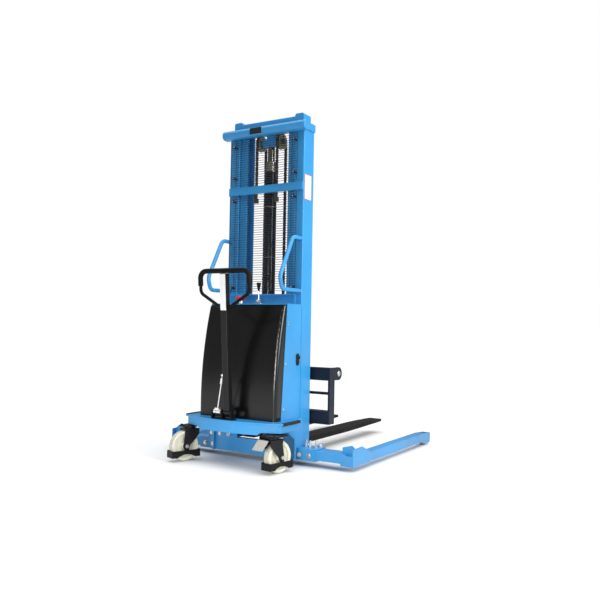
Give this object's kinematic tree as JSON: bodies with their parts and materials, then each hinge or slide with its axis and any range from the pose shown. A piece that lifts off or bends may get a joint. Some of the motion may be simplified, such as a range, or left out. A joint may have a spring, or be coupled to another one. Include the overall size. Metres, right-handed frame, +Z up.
{
  "type": "walkie stacker",
  "caption": "Semi-electric walkie stacker with two-stage mast, hanging forks, adjustable straddle legs, swivel casters and tow tiller.",
  "frame": {"origin": "on the floor, under the middle of the whole machine's bounding box", "axes": "+Z up; +Y forward, the way the forks point; +X to the operator's right"},
  "size_m": [1.344, 1.8986, 2.134],
  "materials": {
    "blue_paint": "semi-gloss enamel",
    "carriage_paint": "semi-gloss dark enamel",
    "fork_paint": "satin black paint on forged steel",
    "black_paint": "satin",
    "cover_plastic": "glossy moulded",
    "black_plastic": "matt",
    "red_plastic": "glossy",
    "wheel_nylon": "smooth cast nylon",
    "roller_nylon": "smooth cast nylon",
    "rubber": "matt",
    "chrome": "polished",
    "zinc_steel": "zinc plated",
    "pedal_steel": "satin plated sheet",
    "chain_steel": "oiled",
    "roller_steel": "ground",
    "cast_iron": "machined",
    "battery_case": "matt",
    "tank_plastic": "translucent moulded",
    "aluminium": "cast"
  },
  "bodies": {
    "chassis": {"base_beam": "blue_paint", "base_rear_plate": "blue_paint", "deck": "blue_paint", "deck_edge_strips": "rubber", "base_bolts": "zinc_steel", "clamp_screws": "zinc_steel", "outer_mast_posts": "blue_paint", "mast_top_beam": "blue_paint", "mast_middle_crossbar": "blue_paint", "mast_lower_crossmember": "blue_paint", "grab_handles": "blue_paint", "guard_mesh": "black_paint", "guard_clips": "black_plastic", "rear_cover": "cover_plastic", "side_panels": "blue_paint", "bulkhead": "blue_paint", "cover_screws": "zinc_steel", "charging_inlet": "black_plastic", "battery": "battery_case", "oil_tank": "tank_plastic", "valve_block": "aluminium", "pump_motor": "black_paint", "charger": "aluminium", "hydraulic_hose": "rubber", "lift_cylinder": "black_paint", "cylinder_fittings": "zinc_steel", "tiller_bracket": "black_paint", "console_fittings": "zinc_steel", "caster_mounts": "black_paint", "chain_rear_runs": "chain_steel"},
    "mast_roller_pair": {"mast_rollers": "roller_steel"},
    "inner_mast": {"inner_mast_posts": "blue_paint", "inner_mast_crosshead": "blue_paint", "sheave_bracket": "blue_paint", "piston_rod": "chrome", "chain_wraps": "chain_steel", "chain_front_runs": "chain_steel"},
    "sheave_pair": {"chain_sheaves": "cast_iron"},
    "carriage": {"carriage_frame": "carriage_paint", "fork_shaft": "zinc_steel"},
    "lower_roller_pair": {"carriage_rollers_lower": "roller_steel"},
    "upper_roller_pair": {"carriage_rollers_upper": "roller_steel"},
    "right_fork": {"fork_right": "fork_paint"},
    "left_fork": {"fork_left": "fork_paint"},
    "tiller": {"tiller_column": "black_paint", "tiller_handle": "black_plastic", "tiller_stay": "chrome"},
    "left_caster": {"caster_fork_left": "black_paint", "wheel_guard_left": "black_paint"},
    "right_caster": {"caster_fork_right": "black_paint", "wheel_guard_right": "black_paint"},
    "left_wheel": {"caster_wheel_left": "wheel_nylon"},
    "right_wheel": {"caster_wheel_right": "wheel_nylon"},
    "pedal": {"brake_pedal": "pedal_steel"},
    "right_leg": {"leg_right": "blue_paint"},
    "left_leg": {"leg_left": "blue_paint"},
    "right_load_roller": {"load_roller_right": "roller_nylon"},
    "left_load_roller": {"load_roller_left": "roller_nylon"},
    "lever": {"control_lever": "chrome"},
    "stop": {"stop_button": "red_plastic"}
  },
  "joints": [
    {"name": "mast_lift", "type": "slide", "parent": "chassis", "child": "inner_mast", "axis": [0, 0, 1], "range_m": [0, 1.35], "deforming": ["chain_rear_runs"]},
    {"name": "carriage_lift", "type": "slide", "parent": "inner_mast", "child": "carriage", "axis": [0, 0, 1], "range_m": [0, 1.35], "deforming": ["chain_front_runs"]},
    {"name": "sheave_turn", "type": "hinge", "parent": "inner_mast", "child": "sheave_pair", "pos_m": [0, -0.4427, 1.985], "axis": [1, 0, 0], "range_deg": [0, 1548]},
    {"name": "mast_roller_turn", "type": "hinge", "parent": "chassis", "child": "mast_roller_pair", "pos_m": [0, -0.4427, 1.96], "axis": [1, 0, 0], "range_deg": [0, 2442]},
    {"name": "lower_roller_turn", "type": "hinge", "parent": "carriage", "child": "lower_roller_pair", "pos_m": [0, -0.4427, 0.262], "axis": [1, 0, 0], "range_deg": [-2442, 0]},
    {"name": "upper_roller_turn", "type": "hinge", "parent": "carriage", "child": "upper_roller_pair", "pos_m": [0, -0.4427, 0.52], "axis": [1, 0, 0], "range_deg": [-2442, 0]},
    {"name": "right_fork_slide", "type": "slide", "parent": "carriage", "child": "right_fork", "axis": [1, 0, 0], "range_m": [-0.045, 0.215]},
    {"name": "left_fork_slide", "type": "slide", "parent": "carriage", "child": "left_fork", "axis": [1, 0, 0], "range_m": [-0.053, 0.21]},
    {"name": "tiller_tilt", "type": "hinge", "parent": "chassis", "child": "tiller", "pos_m": [0, -0.8427, 0.315], "axis": [1, 0, 0], "range_deg": [0, 72], "stiffness_Nm_per_rad": 80, "springref_deg": -11.46},
    {"name": "left_caster_swivel", "type": "hinge", "parent": "chassis", "child": "left_caster", "pos_m": [-0.315, -0.8047, 0.198], "axis": [0, 0, 1], "continuous": true},
    {"name": "right_caster_swivel", "type": "hinge", "parent": "chassis", "child": "right_caster", "pos_m": [0.315, -0.8437, 0.198], "axis": [0, 0, 1], "continuous": true},
    {"name": "left_wheel_roll", "type": "hinge", "parent": "left_caster", "child": "left_wheel", "pos_m": [-0.328, -0.84041, 0.09], "axis": [0.9397, -0.342, 0], "continuous": true},
    {"name": "right_wheel_roll", "type": "hinge", "parent": "right_caster", "child": "right_wheel", "pos_m": [0.32195, -0.80431, 0.09], "axis": [0.9848, -0.1736, 0], "continuous": true},
    {"name": "brake_press", "type": "hinge", "parent": "right_caster", "child": "pedal", "pos_m": [0.28488, -0.89932, 0.172], "axis": [0.9848, -0.1736, 0], "range_deg": [-15, 0]},
    {"name": "right_leg_slide", "type": "slide", "parent": "chassis", "child": "right_leg", "axis": [1, 0, 0], "range_m": [-0.15, 0.05]},
    {"name": "left_leg_slide", "type": "slide", "parent": "chassis", "child": "left_leg", "axis": [1, 0, 0], "range_m": [-0.05, 0.15]},
    {"name": "right_load_roll", "type": "hinge", "parent": "right_leg", "child": "right_load_roller", "pos_m": [0.642, 0.5953, 0.038], "axis": [1, 0, 0], "continuous": true},
    {"name": "left_load_roll", "type": "hinge", "parent": "left_leg", "child": "left_load_roller", "pos_m": [-0.642, 0.5953, 0.038], "axis": [1, 0, 0], "continuous": true},
    {"name": "lever_rock", "type": "hinge", "parent": "chassis", "child": "lever", "pos_m": [0.02, -0.5847, 0.972], "axis": [1, 0, 0], "range_deg": [-20, 20], "stiffness_Nm_per_rad": 2},
    {"name": "stop_press", "type": "slide", "parent": "chassis", "child": "stop", "axis": [0, 0, -1], "range_m": [0, 0.005], "stiffness_N_per_m": 300, "springref_m": -0.01}
  ],
  "couplings": [
    {"joint": "carriage_lift", "follows": "mast_lift", "ratio": 1},
    {"joint": "sheave_turn", "follows": "mast_lift", "rad_per_m": 20},
    {"joint": "mast_roller_turn", "follows": "mast_lift", "rad_per_m": 31.546},
    {"joint": "lower_roller_turn", "follows": "mast_lift", "rad_per_m": -31.546},
    {"joint": "upper_roller_turn", "follows": "mast_lift", "rad_per_m": -31.546}
  ]
}
